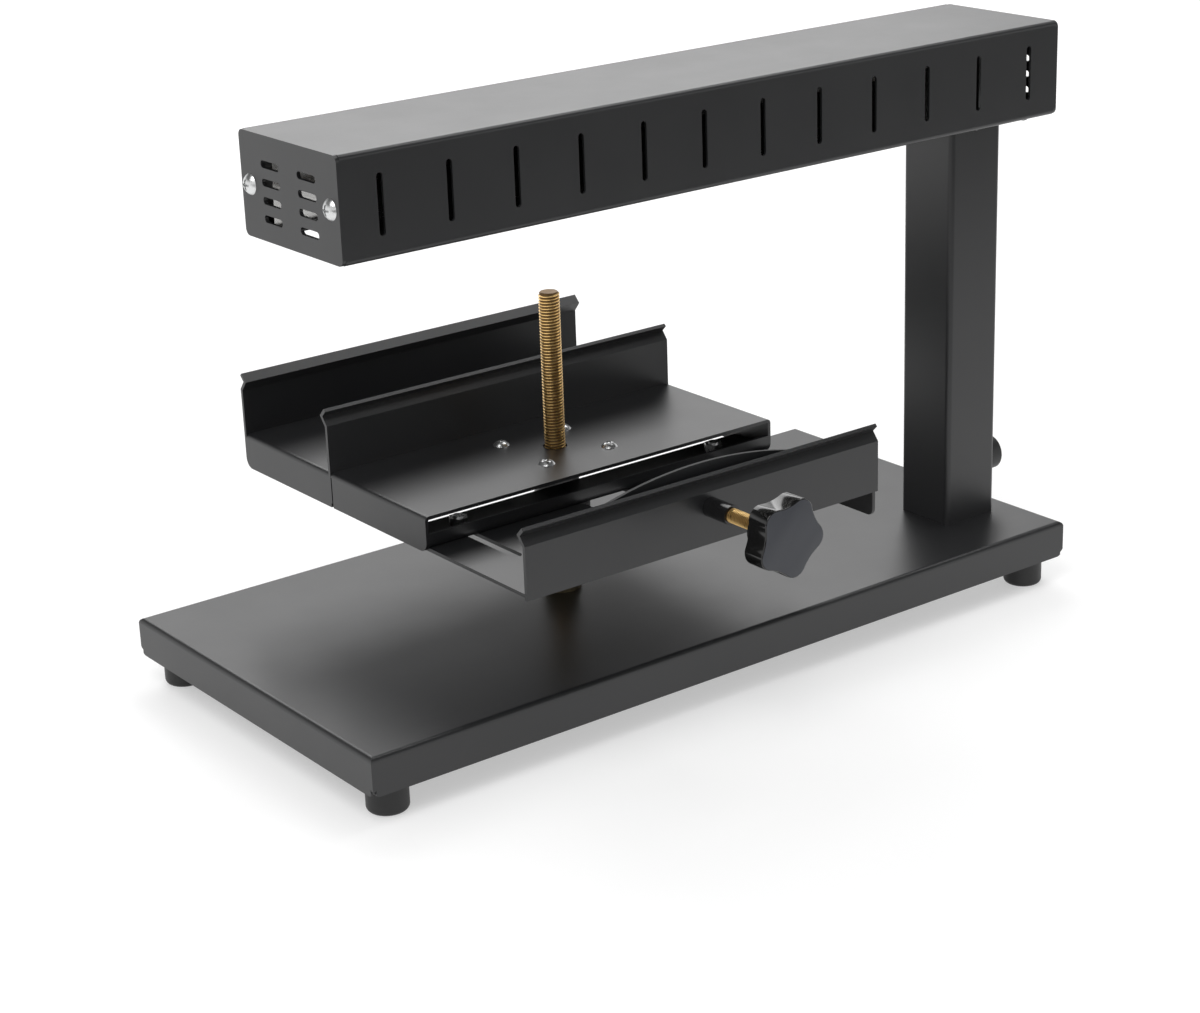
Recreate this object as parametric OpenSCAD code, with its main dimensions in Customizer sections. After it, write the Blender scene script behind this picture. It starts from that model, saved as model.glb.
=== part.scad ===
// Cheese melter: a long radiant heater on a column stands over two cheese trays.
// The trays ride together on an upright threaded rod. They swing round it and
// a hand nut raises and lowers them. The near tray has a sliding wall and a
// screw clamp with a star knob.
// Millimetres, +Z up. The origin lies on the standing surface, under the middle
// of the whole outline. The column is at the +X end and the knob faces -Y.
// The parts are drawn round the middle of the base and in_frame() moves them.

/* [Base] */
// Length of the base
base_l = 500; // [480:5:600]
// Width of the base
base_w = 246; // [230:2:300]
// Height of the folded skirt
skirt_h = 22; // [20:1:30]
// Sheet thickness of the base
base_t = 2; // [1.5:0.5:2.5]
// Outer bend radius along the top edges
base_bend_r = 3; // [3:0.5:5]
// Rounding of the skirt's lower corners
skirt_corner_r = 5; // [3:0.5:7]
// Width of the inward flange under each long side
base_flange_w = 32; // [28:1:40]

/* [Feet] */
// Diameter of a rubber foot
foot_d = 23; // [20:1:26]
// Height of a rubber foot
foot_h = 17; // [14:1:22]
// Rounding of a foot's lower edge
foot_edge_r = 3; // [1:0.5:4]
// Distance of a foot's centre from the end of the base
foot_from_end = 18; // [15:1:30]
// Distance of a foot's centre from the long side of the base
foot_from_side = 16; // [15:1:20]
// Depth of the screw recess in a foot
foot_recess = 8; // [6:0.5:9]

/* [Column] */
// Width of the square column tube
column_w = 40; // [36:1:46]
// Wall of the column tube
column_wall = 2; // [1.5:0.5:3]
// Outer corner radius of the column tube
column_corner_r = 3; // [3:0.5:4]
// Distance of the column's centre from the end of the base
column_from_end = 37.5; // [34:0.5:60]
// Offset of the column and heater from the base's middle line
column_y = -61; // [-70:1:-50]
// Thickness of the plate that closes the column's foot
column_foot_t = 5; // [4:0.5:8]
// Spacing of the bolts in the column's foot
column_bolt_gap = 20; // [16:1:22]
// Length of the collar that carries the heater
column_head_l = 56; // [52:1:56]
// Thickness of the collar that carries the heater
column_head_t = 3; // [2:0.5:4]
// Side of the backing plate under the base top
backing_w = 64; // [56:1:66]
// Thickness of the backing plate
backing_t = 3; // [2:0.5:4]

/* [Heater] */
// Overall length of the heater over its end caps
heater_l = 487; // [460:1:500]
// Width of the heater
heater_w = 91; // [86:1:100]
// Height of the heater
heater_h = 54; // [50:1:64]
// Height of the heater's underside above the base top
heater_lift = 248; // [238:1:300]
// Place of the heater: gap between the column's collar and its rear cap's flange
heater_x = 0.5; // [0.5:0.5:8]
// Sheet thickness of the heater
heater_t = 1.5; // [1:0.25:2]
// Outer bend radius of the heater housing
heater_bend_r = 2.5; // [2.5:0.25:3.5]
// Width of the inward flange under each side of the heater
heater_flange_w = 15; // [12:1:20]
// Thickness of an end cap
cap_t = 2; // [1.5:0.5:3]
// Corner radius of an end cap
cap_corner_r = 3.5; // [2:0.5:5]
// Depth of the return flanges of an end cap
cap_return = 8; // [5:1:8]

/* [Vent slots] */
// Number of upright slots in the near side
side_slots = 12; // [8:1:12]
// Number of upright slots in the far side, beside the switch
far_slots = 10; // [6:1:10]
// Distance between the upright slots
side_slot_pitch = 40; // [34:1:40]
// Height of an upright slot
side_slot_l = 31; // [24:1:34]
// Width of an upright slot
side_slot_w = 3.5; // [2.5:0.5:5]
// Length of a slot in an end cap
cap_slot_l = 17; // [12:1:20]
// Width of a slot in an end cap
cap_slot_w = 3.8; // [3:0.2:5]
// Distance between the rows of slots in an end cap
cap_slot_pitch = 9.2; // [8:0.2:10]
// Distance between the two columns of slots in an end cap
cap_slot_gap = 34; // [30:1:38]
// Distance of the end cap's slots below its middle
cap_slot_drop = 1.5; // [0:0.5:3]
// Distance between the two screws of an end cap
cap_screw_gap = 75; // [70:1:77]

/* [Heating element] */
// Diameter of the sheathed heating element
element_d = 8.5; // [6:0.5:10]
// Distance between the element's two legs
element_gap = 40; // [30:1:44]
// Height of the element above the heater's underside
element_lift = 16.5; // [15:0.5:19]
// Distance of the element's bend from the front of the heater
element_front = 24; // [20:1:40]
// Length of the element over its bend, without the terminals
element_l = 372; // [320:1:376]
// Diameter of an element terminal
terminal_d = 4; // [3:0.5:5]
// Length of an element terminal
terminal_l = 14; // [10:1:16]
// Length of the reflector
reflector_l = 381; // [376:1:386]
// Sheet thickness of the reflector
reflector_t = 0.8; // [0.6:0.1:1.2]
// Height of the reflector
reflector_h = 35; // [30:1:35]
// Gap between the reflector's lips and the heater's sides
reflector_gap = 1.5; // [1.5:0.25:3]
// Width of the reflector's side lips
reflector_lip = 4.5; // [3:0.5:6]
// Lean of each side of the reflector towards its roof
reflector_lean = 2; // [1:0.5:6]
// Thickness of an element bracket
bracket_t = 1.5; // [1:0.5:2]
// Height of an element bracket
bracket_h = 15; // [12:0.5:16]
// Overhang of the reflector in front of the element's bend
reflector_over = 8; // [8:0.5:9]
// Clearance round the element in its brackets
element_gap_r = 0.3; // [0.2:0.05:0.5]

/* [Rod] */
// Position of the rod along the base, from its middle
rod_x = -40; // [-60:1:-30]
// Outer diameter of the threaded rod
rod_d = 12; // [10:1:14]
// Height of the rod above the base top
rod_above = 177; // [165:1:200]
// Reach of the rod below the base top
rod_below = 15.5; // [15.5:0.5:18]
// Chamfer at the ends of the rod
rod_chamfer = 1; // [0.5:0.25:1.5]
// Radial clearance of the parts that run on the rod
run_gap = 0.08; // [0.05:0.01:0.1]
// Radial clearance of nuts on their threads
thread_gap = 0.05; // [0.03:0.01:0.08]

/* [Height adjustment] */
// Diameter of the hub
hub_d = 26; // [22:1:28]
// Length of the hub below the tray floor
hub_l = 28; // [24:1:30]
// Side of the hub's square flange
hub_flange_w = 60; // [52:1:66]
// Thickness of the hub's flange
hub_flange_t = 3; // [2:0.5:4]
// Spacing of the hub's screws
hub_screw_gap = 44; // [38:1:46]
// Diameter of the ring between hub and hand nut
ring_d = 30; // [26:1:36]
// Thickness of the ring
ring_t = 2; // [1.5:0.5:3]
// Diameter of the hand nut
hand_nut_d = 38; // [32:1:44]
// Height of the hand nut
hand_nut_h = 12; // [10:1:14]
// Number of finger grooves round the hand nut
hand_nut_grooves = 10; // [6:1:12]

/* [Trays] */
// Length of the trays
tray_l = 242; // [220:2:260]
// Width of each tray floor
section_w = 95; // [85:1:105]
// Height of the tray floors above the base top
floor_lift = 86; // [80:1:100]
// Sheet thickness of the trays
tray_t = 2; // [1.5:0.5:2.5]
// Depth of the aprons at the ends of the trays
apron_h = 20.5; // [20:0.5:26]
// Rounding of the aprons' outer lower corners
apron_corner_r = 6; // [3:0.5:8]
// Bend radius at the aprons' upper edges
tray_bend_r = 2.5; // [2.5:0.5:4]
// Height of a wall above its floor, up to the first fold of the rim
rim_fold_h = 27.5; // [22:0.5:34]
// Height of the sloping part of the rim
rim_slope_h = 5; // [3:0.5:8]
// Height of the flared part of the rim
rim_flare_h = 3.3; // [2:0.1:5]
// Depth of the rim's fold
rim_depth = 4; // [2:0.5:5]
// Distance of the flared edge behind the wall's outer face
rim_set_back = 0.8; // [0:0.1:1.5]
// Gap between the aprons at the seam of the two trays
apron_seam = 2; // [1:0.5:3]
// Height of the lower lip at the near tray's open side
guide_lip_h = 8; // [6:0.5:10]
// Width of the guide ledge under the near tray
guide_ledge_w = 30; // [24:1:31]
// Running gap of the sliding wall
slide_gap = 0.2; // [0.15:0.05:0.3]

/* [Sliding wall] */
// Distance from the rod to the outer face of the sliding wall
jaw_out = 138.7; // [125:0.1:145]
// Travel of the sliding wall towards the rod
jaw_travel = 53; // [40:1:53]
// Distance from the rod to the inner edge of the sliding plate
jaw_inner = 20; // [18:0.5:24]
// Depth of the stiffening lip at the rear end
rear_lip_h = 14; // [8:1:16]
// Length of the stiffening lip
rear_lip_l = 86; // [60:1:88]
// Corner radius of the stiffening lip
rear_lip_r = 4; // [2:0.5:5]
// Distance between the two guide screws
guide_gap = 180; // [140:2:200]
// Diameter of a guide screw
guide_d = 6; // [5:0.5:6]
// Clearance at each side of a guide screw
guide_play = 0.3; // [0.2:0.05:0.5]
// Gap between the hub and the slot round it
hub_slot_gap = 3; // [2:0.5:5]

/* [Clamp] */
// Height of the clamp screw above the sliding plate's underside
clamp_h = 21; // [19:0.5:24]
// Diameter of the clamp screw
clamp_d = 8; // [6:0.5:9]
// Outer diameter of the threaded sleeve
sleeve_d = 11; // [10.5:0.5:14]
// Length of the threaded sleeve
sleeve_l = 18; // [14:1:22]
// Width of the pressure plate
press_w = 150; // [120:2:180]
// Thickness of the pressure plate
press_t = 2; // [1.5:0.5:4]
// Rise of the pressure plate's arch from its ends to its middle
press_arch = 11; // [6:0.5:14]
// Height of the arch above the wall's rim
press_over = 6; // [3:0.5:8]
// Gap between the pressure plate and its neighbours
press_gap = 0.4; // [0.3:0.1:0.5]
// Diameter of the collars that hold the pressure plate on the screw
collar_d = 14; // [12:0.5:16]
// Thickness of a collar
collar_t = 2; // [1.5:0.25:2]
// Visible length of the clamp screw between sleeve and knob
clamp_free = 25.3; // [22:0.1:32]

/* [Star knob] */
// Number of lobes of the star knob
knob_lobes = 5; // [5:1:7]
// Distance of the lobes' centres from the knob's axis
lobe_at = 14.5; // [12.5:0.5:16]
// Radius of a lobe
lobe_r = 7.5; // [7:0.5:9]
// Radius of the valleys between the lobes
valley_r = 8; // [5:0.5:9]
// Thickness of the lobed part
knob_t = 14; // [12:0.5:18]
// Depth of the step round the knob's face
knob_step = 0.8; // [0.5:0.1:1.2]
// Diameter of the knob's neck
neck_d = 26; // [18:1:28]
// Length of the knob's neck
neck_l = 8; // [6:0.5:10]
// Depth of the screw in the knob
knob_hold = 14; // [10:0.5:18]
// Turn of the knob at rest, seen from its face
knob_turn = 8; // [0:1:71]

/* [Switch] */
// Distance of the switch from the rear end of the heater
switch_from_end = 46; // [40:1:56]
// Width of the switch's bezel
bezel_w = 22; // [20:1:24]
// Height of the switch's bezel
bezel_h = 31; // [29:1:34]
// Thickness of the bezel
bezel_t = 2; // [1.5:0.25:2.5]
// Depth of the switch body behind the bezel
switch_depth = 14; // [12:1:18]
// Width of the rocker
rocker_w = 14; // [12:0.5:15]
// Height of the rocker
rocker_h = 22.4; // [20:0.2:22.8]
// Angle of the rocker at rest
rocker_tilt = 8; // [4:1:9]
// Gap round the rocker's ends
rocker_gap = 0.8; // [0.8:0.1:1.2]

/* [Cable gland] */
// Height of the gland above the base top
gland_lift = 30; // [26:1:60]
// Diameter of the gland's cable bore
gland_bore_d = 7.2; // [6:0.2:8]
// Diameter of the gland's thread
gland_thread_d = 14; // [12.5:0.5:15]
// Width across the flats of the gland's hexagon
gland_hex = 22; // [20:0.5:24]
// Thickness of the gland's hexagon
gland_hex_t = 5; // [4:0.5:6]
// Length of the gland's thread outside
gland_thread_l = 11; // [10:0.5:14]
// Thickness of the gland's lock nut
gland_lock_t = 4; // [3:0.5:5]

/* [Hidden] */
$fn = 48;

// Overshoot of every cutting body
cut = 1;
// Half of the overshoot leaves a cutter centred on the sheet that it opens
through = 2 * cut;
// Overshoot of a cutter that must not reach the next sheet
thin_cut = 0.2;
// How far the joined bodies of one part run into each other
lap = 1;
sheet_lap = 0.2;

// Screws: diameters, heads and nuts of the standard sizes used here
m4 = 4;
m5 = 5;
m6 = 6;
pan_head = 1.9;      // head diameter over thread diameter
pan_height = 0.55;   // head height over thread diameter
hex_flats = 1.6;     // nut width across flats over thread diameter
nut_height = 0.8;    // nut height over thread diameter
hole_play = 0.2;     // radial clearance of a screw in a plain hole
thread_end = 1;      // length of a screw beyond its nut
head_play = 0.5;     // gap between the column's collar and the heater's bends
weld_gap = 0.3;      // gap between the column and its collar
floor_play = 1;      // radial clearance of the rod in the tray floor

// Heights
base_top = foot_h + skirt_h;
heater_z = base_top + heater_lift;
heater_mid = heater_z + heater_h / 2;
floor_z = base_top + floor_lift;
floor_under = floor_z - tray_t;
plate_top = floor_z - apron_h + tray_t + slide_gap;
plate_under = plate_top - tray_t;
ledge_under = plate_top + slide_gap;
hub_under = floor_under - hub_l;
ring_under = hub_under - ring_t;
hand_nut_under = ring_under - hand_nut_h;
clamp_z = plate_under + clamp_h;
wall_h = rim_fold_h + rim_slope_h + rim_flare_h;

// Places along the base
column_x = base_l / 2 - column_from_end;
housing_l = heater_l - 2 * cap_t;
heater_rear = column_x + column_head_l / 2 + heater_x + cap_return + cap_t;
heater_front = heater_rear - heater_l;
far_wall_y = column_y + heater_w / 2;
switch_x = heater_rear - switch_from_end;
element_x = heater_front + element_front;
bracket_step = (element_l - element_gap - 2 * bracket_t) / 2;
bracket_x = element_x + element_gap / 2 + element_d / 2;
cap_screw_head_d = 11;
cap_screw_head_h = 3.2;

// Places across the trays, measured from the rod
seam_y = section_w / 2;
far_out = seam_y + section_w;
ledge_mid = -section_w / 2 + guide_ledge_w / 2;
rim_reach = max([for (p = shifted(rim_path(0), tray_t)) p[0]]);
press_back = -jaw_out + rim_reach + press_gap;
press_front = press_back + press_t;
knob_back = -jaw_out - sleeve_l - clamp_free;
knob_face = knob_back - neck_l - knob_t;

// The frame's origin: the middle of the outline, seen from above
outline_x = [min(-base_l / 2, heater_front - cap_screw_head_h),
    max(base_l / 2, heater_rear + cap_screw_head_h)];
outline_y = [min(-base_w / 2, knob_face), max(base_w / 2, far_out)];
frame_x = -(outline_x[0] + outline_x[1]) / 2;
frame_y = -(outline_y[0] + outline_y[1]) / 2;

module in_frame() {
    translate([frame_x, frame_y, 0]) children();
}

// Moves drawn parts to the rod's axis
module at_rod() {
    in_frame() translate([rod_x, 0, 0]) children();
}

// Moves drawn parts to the heater's middle, at its underside
module at_heater() {
    in_frame() translate([heater_rear - heater_l / 2, column_y, heater_z]) children();
}

// Extrudes a profile of (Y, Z) along X, centred
module along_x(l) {
    rotate([90, 0, 90]) linear_extrude(l, center = true) children();
}

// Extrudes a profile of (X, Z) along Y, centred
module along_y(l) {
    rotate([90, 0, 0]) linear_extrude(l, center = true) children();
}

// Points a part drawn along +Z towards -Y
module towards_near() {
    rotate([90, 0, 0]) children();
}

// Rectangle with round corners, centred
module rounded_rect(w, h, r) {
    square([w - 2 * r, h], center = true);
    square([w, h - 2 * r], center = true);
    for (x = [-1, 1], y = [-1, 1])
        translate([x * (w / 2 - r), y * (h / 2 - r)]) circle(r);
}

// Slot with round ends along X, centred
module slot(l, w) {
    square([l - w, w], center = true);
    for (x = [-1, 1]) translate([x * (l - w) / 2, 0]) circle(d = w);
}

// Bar that stands on its baseline, with its two upper corners round
module arch_bar(w, h, r) {
    translate([-w / 2, 0]) square([w, h - r]);
    translate([-w / 2 + r, 0]) square([w - 2 * r, h]);
    for (x = [-1, 1]) translate([x * (w / 2 - r), h - r]) circle(r);
}

// What a round corner at the origin leaves over, towards +X and +Y
module corner_waste(r) {
    difference() {
        translate([-cut, -cut]) square(r + cut);
        translate([r, r]) circle(r);
    }
}

// Shifts the points of an open path to its right by a sheet's thickness
function unit(v) = v / norm(v);
function right_of(v) = [v[1], -v[0]];
function mitre(a, b, t) = (a + b) * t / (1 + a * b);
function shifted(p, t) = [for (i = [0 : len(p) - 1])
    let (last = len(p) - 1,
        before = right_of(unit(p[max(i, 1)] - p[max(i, 1) - 1])),
        after = right_of(unit(p[min(i, last - 1) + 1] - p[min(i, last - 1)])))
    p[i] + mitre(before, after, t)];
function backwards(p) = [for (i = [len(p) - 1 : -1 : 0]) p[i]];

// Sheet that follows a path, with its thickness on the path's right
module folded_sheet(path, t) {
    polygon(concat(path, backwards(shifted(path, t))));
}

// Outer face of a tray wall that rises from `foot` to its folded rim. Heights
// are measured from the floor's upper face.
function rim_path(foot) = [[0, foot], [0, rim_fold_h],
    [rim_depth, rim_fold_h + rim_slope_h], [rim_set_back, wall_h]];

module rimmed_wall(foot) {
    folded_sheet(rim_path(foot), tray_t);
}

// Round bar with chamfered ends, standing on z = 0
module chamfered_bar(d, l, c) {
    cylinder(r1 = d / 2 - c, r2 = d / 2, h = c);
    translate([0, 0, c]) cylinder(d = d, h = l - 2 * c);
    translate([0, 0, l - c]) cylinder(r1 = d / 2, r2 = d / 2 - c, h = c);
}

// Hexagonal nut or head, standing on z = 0
module hex_block(flats, h) {
    cylinder(d = flats / cos(30), h = h, $fn = 6);
}

module hex_nut(d, h) {
    difference() {
        hex_block(d * hex_flats, h);
        translate([0, 0, -cut]) cylinder(r = d / 2 + thread_gap, h = h + through);
    }
}

// Screw with its shank downwards and its domed cross-slotted head above z = 0
module domed_screw(d, l, head_d, head_h) {
    dome_r = (head_d * head_d / 4 + head_h * head_h) / (2 * head_h);
    slot_l = head_d * 0.5;
    slot_w = head_d * 0.11;
    slot_deep = head_h * 0.5;
    difference() {
        union() {
            intersection() {
                translate([0, 0, head_h - dome_r]) sphere(dome_r);
                cylinder(d = head_d, h = head_h);
            }
            translate([0, 0, -l]) cylinder(d = d, h = l + head_h / 4);
        }
        for (a = [0, 90]) rotate(a)
            translate([-slot_l / 2, -slot_w / 2, head_h - slot_deep])
                cube([slot_l, slot_w, slot_deep + cut]);
    }
}

module pan_screw(d, l) {
    domed_screw(d, l, d * pan_head, d * pan_height);
}

// Screw with a hexagonal head above z = 0 and its shank downwards
module hex_screw(d, l) {
    hex_block(d * hex_flats, d * nut_height);
    translate([0, 0, -l]) cylinder(d = d, h = l + lap);
}

module plain_washer(d, bore_r, t) {
    difference() {
        cylinder(d = d, h = t);
        translate([0, 0, -cut]) cylinder(r = bore_r, h = t + through);
    }
}

// Places of repeated fixings
module at_feet() {
    in_frame() for (x = [-1, 1], y = [-1, 1])
        translate([x * (base_l / 2 - foot_from_end),
            y * (base_w / 2 - foot_from_side), 0]) children();
}

module at_column_bolts() {
    for (x = [-1, 1], y = [-1, 1])
        translate([column_x + x * column_bolt_gap / 2,
            column_y + y * column_bolt_gap / 2, 0]) children();
}

// The heater is screwed to the column's collar through its lower flanges
mount_gap_x = 40;
mount_gap_y = heater_w - heater_t - heater_flange_w;
module at_mount_screws() {
    for (x = [-1, 1], y = [-1, 1])
        translate([column_x + x * mount_gap_x / 2,
            column_y + y * mount_gap_y / 2, heater_z]) children();
}

module at_hub_screws() {
    for (x = [-1, 1], y = [-1, 1])
        translate([x * hub_screw_gap / 2, y * hub_screw_gap / 2, 0]) children();
}

module at_guides() {
    for (x = [-1, 1]) translate([x * guide_gap / 2, ledge_mid, 0]) children();
}

tray_bolt_gap = tray_l / 3;
tray_bolt_z = floor_z - apron_h / 2;
module at_tray_bolts() {
    for (i = [-1 : 1]) translate([i * tray_bolt_gap, seam_y, tray_bolt_z]) children();
}

// ---- Stand -----------------------------------------------------------------

// Terminal block under the heater's roof, and the column's hole for its wires
block_l = 20;
block_w = 46;
block_h = 14;
block_bores = 3;
block_gap = 4.5;
block_z = heater_z + heater_h - heater_t - block_h;
wire_hole_d = 10;

// Block with four round upper edges: the outline of a folded pan
module pan_block(l, w, h, r) {
    intersection() {
        along_x(l) arch_bar(w, h, r);
        along_y(w) arch_bar(l, h, r);
    }
}

module skirt_corner_cuts() {
    for (x = [0, 1], y = [0, 1]) mirror([x, 0, 0]) mirror([0, y, 0])
        translate([-base_l / 2, -base_w / 2, foot_h]) {
            translate([0, base_t / 2, 0])
                along_y(base_t + thin_cut) corner_waste(skirt_corner_r);
            translate([base_t / 2, 0, 0])
                along_x(base_t + thin_cut) corner_waste(skirt_corner_r);
        }
}

module base_pan() {
    flange_l = base_l - 2 * (base_t + skirt_corner_r);
    color([0.09, 0.09, 0.10]) in_frame() difference() {
        union() {
            difference() {
                translate([0, 0, foot_h]) pan_block(base_l, base_w, skirt_h, base_bend_r);
                translate([0, 0, foot_h - cut])
                    pan_block(base_l - 2 * base_t, base_w - 2 * base_t,
                        skirt_h - base_t + cut, base_bend_r - base_t);
                skirt_corner_cuts();
            }
            for (y = [0, 1]) mirror([0, y, 0])
                translate([-flange_l / 2, -base_w / 2 + base_t / 2, foot_h])
                    cube([flange_l, base_flange_w - base_t / 2, base_t]);
        }
        translate([rod_x, 0, base_top - base_t - cut])
            cylinder(r = rod_d / 2 + hole_play, h = base_t + through);
        at_column_bolts() translate([0, 0, base_top - base_t - cut])
            cylinder(r = m6 / 2 + hole_play, h = base_t + through);
        for (x = [-1, 1], y = [-1, 1])
            translate([x * (base_l / 2 - foot_from_end),
                y * (base_w / 2 - foot_from_side), foot_h - cut])
                cylinder(r = m5 / 2 + hole_play, h = base_t + through);
    }
}

module rubber_feet() {
    r = foot_d / 2;
    color([0.05, 0.05, 0.05]) at_feet() difference() {
        union() {
            translate([0, 0, foot_edge_r]) cylinder(r = r, h = foot_h - foot_edge_r);
            cylinder(r = r - foot_edge_r, h = foot_h);
            translate([0, 0, foot_edge_r]) rotate_extrude()
                translate([r - foot_edge_r, 0]) circle(foot_edge_r);
        }
        translate([0, 0, -cut]) cylinder(r = m5 * pan_head / 2 + hole_play, h = foot_recess + cut);
        cylinder(r = m5 / 2 + hole_play, h = foot_h + cut);
    }
}

module foot_screws() {
    grip = foot_h - foot_recess + base_t + m5 * nut_height + thread_end;
    color([0.75, 0.75, 0.77]) at_feet() translate([0, 0, foot_recess])
        rotate([180, 0, 0]) pan_screw(m5, grip);
}

module foot_nuts() {
    color([0.75, 0.75, 0.77]) at_feet() translate([0, 0, foot_h + base_t])
        hex_nut(m5, m5 * nut_height);
}

module column() {
    tube_l = heater_z + heater_h - heater_t - base_top;
    color([0.09, 0.09, 0.10]) in_frame() difference() {
        translate([column_x, column_y, base_top])
            linear_extrude(tube_l) rounded_rect(column_w, column_w, column_corner_r);
        translate([column_x, column_y, base_top + column_foot_t])
            linear_extrude(tube_l)
                rounded_rect(column_w - 2 * column_wall, column_w - 2 * column_wall,
                    column_corner_r - column_wall);
        at_column_bolts() translate([0, 0, base_top - cut])
            cylinder(r = m6 / 2 + thread_gap, h = column_foot_t + through);
        translate([column_x + column_w / 2 - column_wall - cut, column_y, base_top + gland_lift])
            rotate([0, 90, 0])
                cylinder(r = gland_thread_d / 2 + hole_play, h = column_wall + through);
        translate([column_x - column_w / 2 - cut, column_y, block_z + block_h / 2])
            rotate([0, 90, 0]) cylinder(d = wire_hole_d, h = column_wall + through);
    }
}

// Collar welded round the column, inside the heater, that carries its lower flanges
module head_plate() {
    head_w = heater_w - 2 * (heater_bend_r + head_play);
    color([0.09, 0.09, 0.10]) in_frame() difference() {
        translate([column_x, column_y, heater_z + heater_t])
            linear_extrude(column_head_t)
                rounded_rect(column_head_l, head_w, column_corner_r);
        translate([column_x, column_y, heater_z + heater_t - cut])
            linear_extrude(column_head_t + through)
                rounded_rect(column_w + 2 * weld_gap, column_w + 2 * weld_gap,
                    column_corner_r + weld_gap);
        at_mount_screws() translate([0, 0, heater_t - cut])
            cylinder(r = m4 / 2 + thread_gap, h = column_head_t + through);
    }
}

module backing_plate() {
    color([0.70, 0.71, 0.72]) in_frame() difference() {
        translate([column_x, column_y, base_top - base_t - backing_t])
            linear_extrude(backing_t) rounded_rect(backing_w, backing_w, column_corner_r);
        at_column_bolts() translate([0, 0, base_top - base_t - backing_t - cut])
            cylinder(r = m6 / 2 + hole_play, h = backing_t + through);
    }
}

module column_bolts() {
    grip = backing_t + base_t + column_foot_t - thread_end;
    color([0.75, 0.75, 0.77]) in_frame() at_column_bolts()
        translate([0, 0, base_top - base_t - backing_t])
            rotate([180, 0, 0]) hex_screw(m6, grip);
}

washer_d = 2 * rod_d;
washer_t = 2.5;
rod_nut_h = 10;

module threaded_rod() {
    color([0.78, 0.66, 0.40]) at_rod() translate([0, 0, base_top - rod_below])
        chamfered_bar(rod_d, rod_below + rod_above, rod_chamfer);
}

module rod_washers() {
    color([0.78, 0.70, 0.48]) at_rod()
        for (z = [base_top, base_top - base_t - washer_t])
            translate([0, 0, z]) plain_washer(washer_d, rod_d / 2 + thread_gap, washer_t);
}

module rod_nuts() {
    color([0.78, 0.70, 0.48]) at_rod()
        for (z = [base_top + washer_t, base_top - base_t - washer_t - rod_nut_h])
            translate([0, 0, z]) hex_nut(rod_d, rod_nut_h);
}

// ---- Heater ----------------------------------------------------------------

// Tabs of the housing that take the cap screws
tab_w = 14;
tab_h = 18;
// Cut-out of the switch, inside the lip of its bezel
bezel_lip = 2;
switch_cut_w = bezel_w - 2 * bezel_lip;
switch_cut_h = bezel_h - 2 * bezel_lip;

module side_slot_row(count) {
    for (i = [0 : count - 1])
        translate([(i - (side_slots - 1) / 2) * side_slot_pitch, heater_h / 2])
            rotate(90) slot(side_slot_l, side_slot_w);
}

module heater_housing() {
    mouth_w = heater_w - 2 * heater_flange_w;
    color([0.09, 0.09, 0.10]) difference() {
        at_heater() {
            difference() {
                along_x(housing_l) difference() {
                    translate([0, heater_h / 2]) rounded_rect(heater_w, heater_h, heater_bend_r);
                    translate([0, heater_h / 2]) rounded_rect(heater_w - 2 * heater_t,
                        heater_h - 2 * heater_t, heater_bend_r - heater_t);
                    translate([-mouth_w / 2, -cut]) square([mouth_w, heater_h / 2]);
                }
                translate([0, -heater_w / 2, 0]) along_y(2 * heater_t + through)
                    side_slot_row(side_slots);
                translate([0, heater_w / 2, 0]) along_y(2 * heater_t + through)
                    side_slot_row(far_slots);
            }
            for (x = [0, 1], y = [0, 1]) mirror([x, 0, 0]) mirror([0, y, 0])
                translate([-housing_l / 2, -heater_w / 2 + heater_t / 2, (heater_h - tab_h) / 2])
                    cube([heater_t, tab_w + heater_t / 2, tab_h]);
        }
        at_heater() for (y = [-1, 1])
            translate([0, y * cap_screw_gap / 2, heater_h / 2]) rotate([0, 90, 0])
                cylinder(r = m5 / 2 + thread_gap, h = heater_l, center = true);
        in_frame() at_mount_screws() translate([0, 0, -cut])
            cylinder(r = m4 / 2 + hole_play, h = heater_t + through);
        in_frame() translate([switch_x, far_wall_y, heater_mid])
            cube([switch_cut_w, 2 * heater_t + through, switch_cut_h], center = true);
    }
}

module heater_mount_screws() {
    color([0.75, 0.75, 0.77]) in_frame() at_mount_screws()
        rotate([180, 0, 0]) pan_screw(m4, heater_t + column_head_t + thread_end);
}

// End cap, drawn for the front end: its outer face is at x = 0
module end_cap() {
    return_w = heater_w - 2 * tab_w;
    top_z = heater_h - 2 * heater_t - slide_gap;
    difference() {
        union() {
            translate([cap_t / 2, 0, heater_h / 2])
                along_x(cap_t) rounded_rect(heater_w, heater_h, cap_corner_r);
            for (z = [heater_t + slide_gap, top_z])
                translate([cap_t / 2, -return_w / 2, z])
                    cube([cap_return + cap_t / 2, return_w, heater_t]);
        }
        translate([0, 0, heater_h / 2 - cap_slot_drop]) along_x(2 * cap_t + through)
            for (y = [-1, 1], row = [0 : 3])
                translate([y * cap_slot_gap / 2, (row - 1.5) * cap_slot_pitch])
                    slot(cap_slot_l, cap_slot_w);
        for (y = [-1, 1])
            translate([-cut, y * cap_screw_gap / 2, heater_h / 2]) rotate([0, 90, 0])
                cylinder(r = m5 / 2 + hole_play, h = cap_t + through);
    }
}

module heater_cap_front() {
    color([0.10, 0.10, 0.11]) at_heater() translate([-heater_l / 2, 0, 0]) end_cap();
}

module heater_cap_rear() {
    color([0.10, 0.10, 0.11]) at_heater() translate([heater_l / 2, 0, 0])
        mirror([1, 0, 0]) end_cap();
}

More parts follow.
